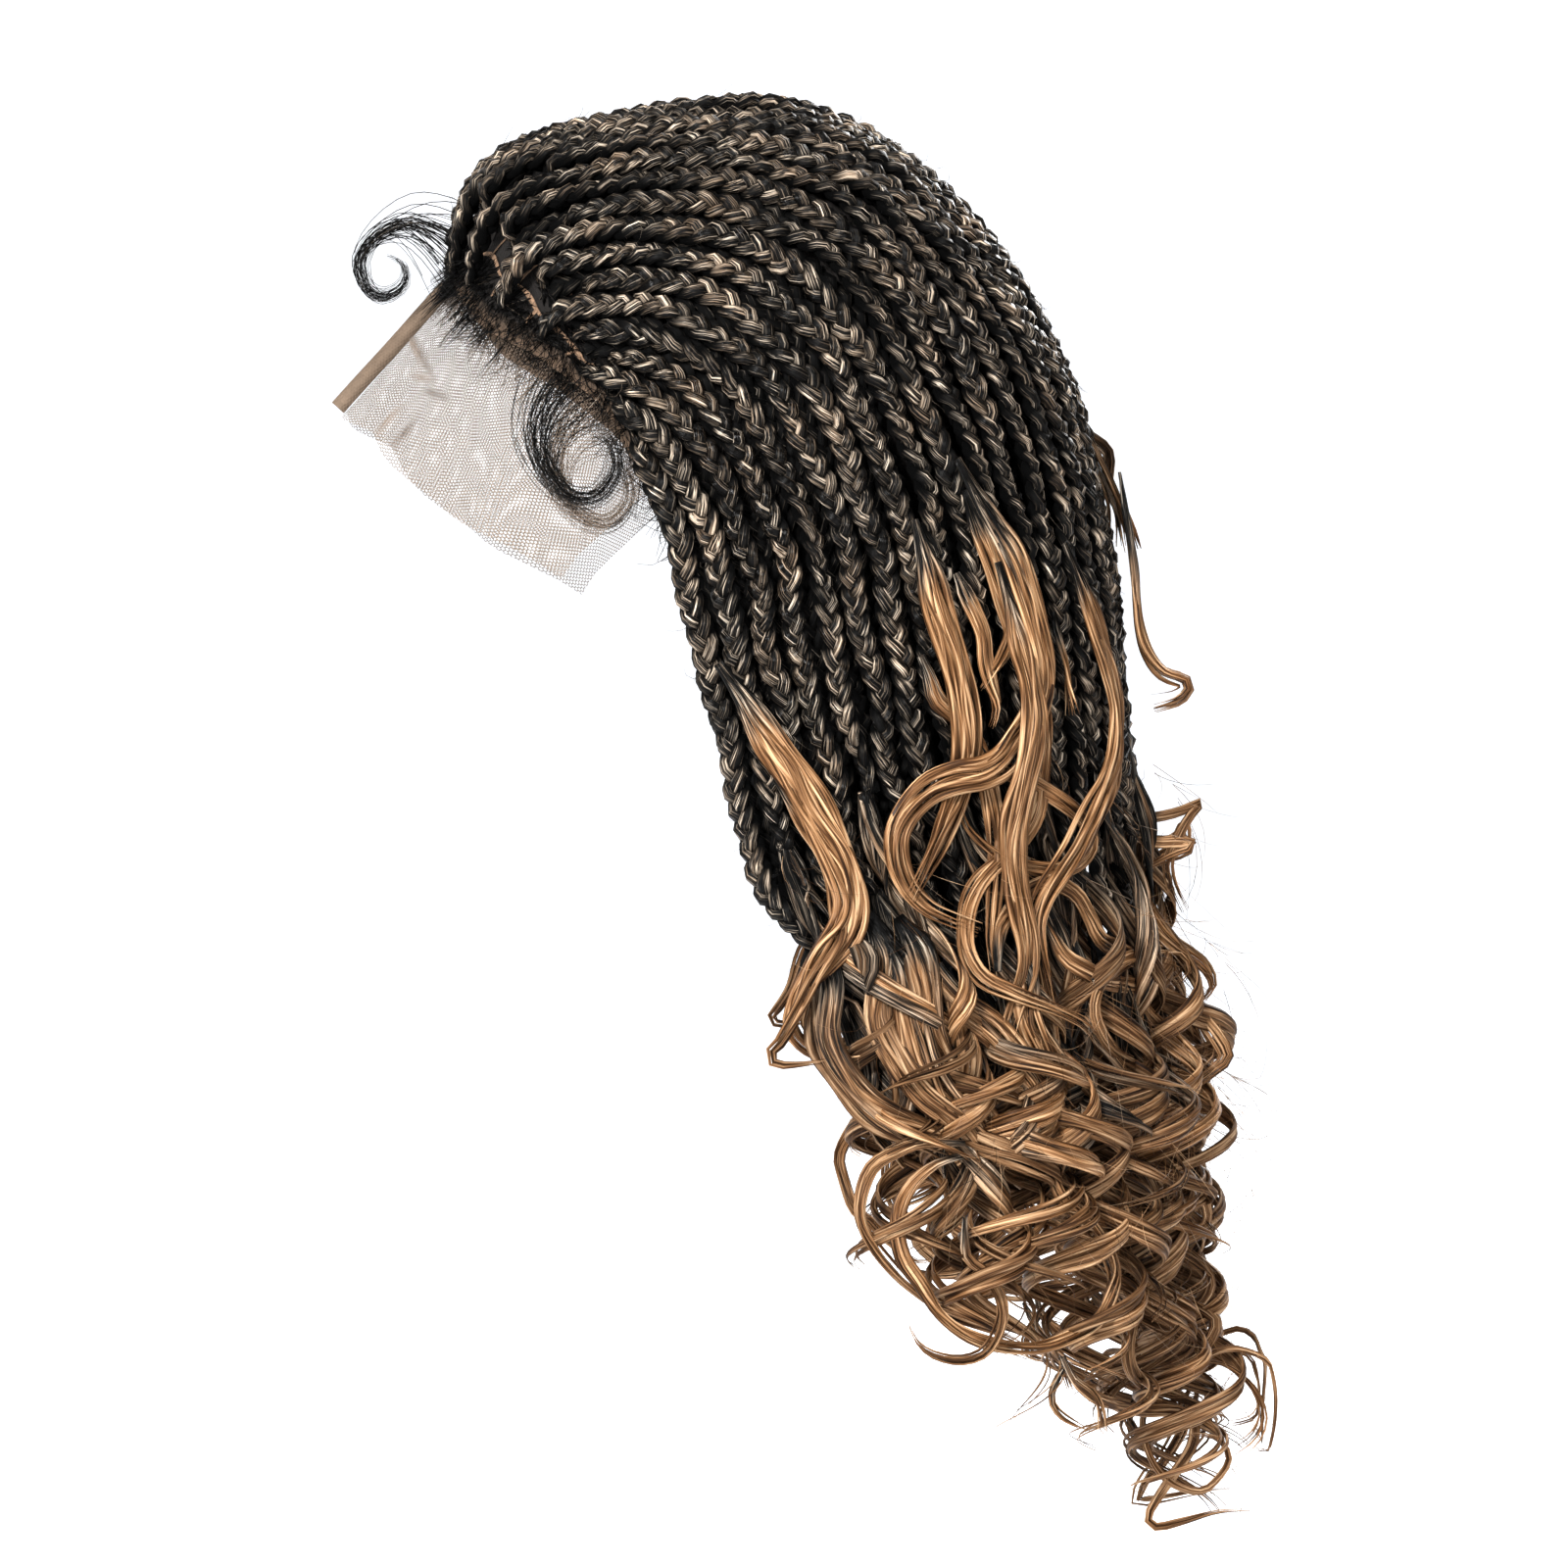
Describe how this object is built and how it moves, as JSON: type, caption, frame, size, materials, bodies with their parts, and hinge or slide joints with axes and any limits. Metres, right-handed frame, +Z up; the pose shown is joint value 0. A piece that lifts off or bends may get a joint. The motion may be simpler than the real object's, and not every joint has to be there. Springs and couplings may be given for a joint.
{
  "type": "braided wig",
  "caption": "Long braided wig on a lace front cap: plaits sweep back off the face, hang round the neck and end in loose golden curls.",
  "frame": {"origin": "where the crown of the head meets the inside of the cap", "axes": "+Z up, the wearer faces -Y and the wearer's left is +X"},
  "size_m": [0.2424, 0.3144, 0.4707],
  "materials": {
    "black_hair": "plaited synthetic hair, soft sheen",
    "honey_hair": "curled synthetic hair, soft sheen",
    "tan_lace": "sheer net, matt",
    "brown_net": "cap net, matt"
  },
  "bodies": {
    "root": {"lace_cap": "brown_net", "front_lace": "tan_lace", "lace_edge_band": "tan_lace", "inner_braid_fall": "black_hair", "braid_left_01": "black_hair", "braid_left_02": "black_hair", "braid_left_03": "black_hair", "braid_left_04": "black_hair", "braid_left_05": "black_hair", "braid_left_06": "black_hair", "braid_left_07": "black_hair", "braid_left_08": "black_hair", "braid_left_09": "black_hair", "braid_left_10": "black_hair", "braid_left_11": "black_hair", "braid_left_12": "black_hair", "braid_left_13": "black_hair", "braid_left_14": "black_hair", "braid_left_15": "black_hair", "braid_left_16": "black_hair", "braid_left_17": "black_hair", "braid_left_18": "black_hair", "braid_right_01": "black_hair", "braid_right_02": "black_hair", "braid_right_03": "black_hair", "braid_right_04": "black_hair", "braid_right_05": "black_hair", "braid_right_06": "black_hair", "braid_right_07": "black_hair", "braid_right_08": "black_hair", "braid_right_09": "black_hair", "braid_right_10": "black_hair", "braid_right_11": "black_hair", "braid_right_12": "black_hair", "braid_right_13": "black_hair", "braid_right_14": "black_hair", "braid_right_15": "black_hair", "braid_right_16": "black_hair", "braid_right_17": "black_hair", "braid_right_18": "black_hair", "loose_lock_1": "honey_hair", "loose_lock_2": "honey_hair", "loose_lock_3": "honey_hair", "loose_lock_4": "honey_hair", "loose_lock_5": "honey_hair", "loose_lock_6": "honey_hair", "edge_curl_front": "black_hair", "edge_curl_left": "black_hair", "edge_curl_right": "black_hair"}
  },
  "joints": []
}
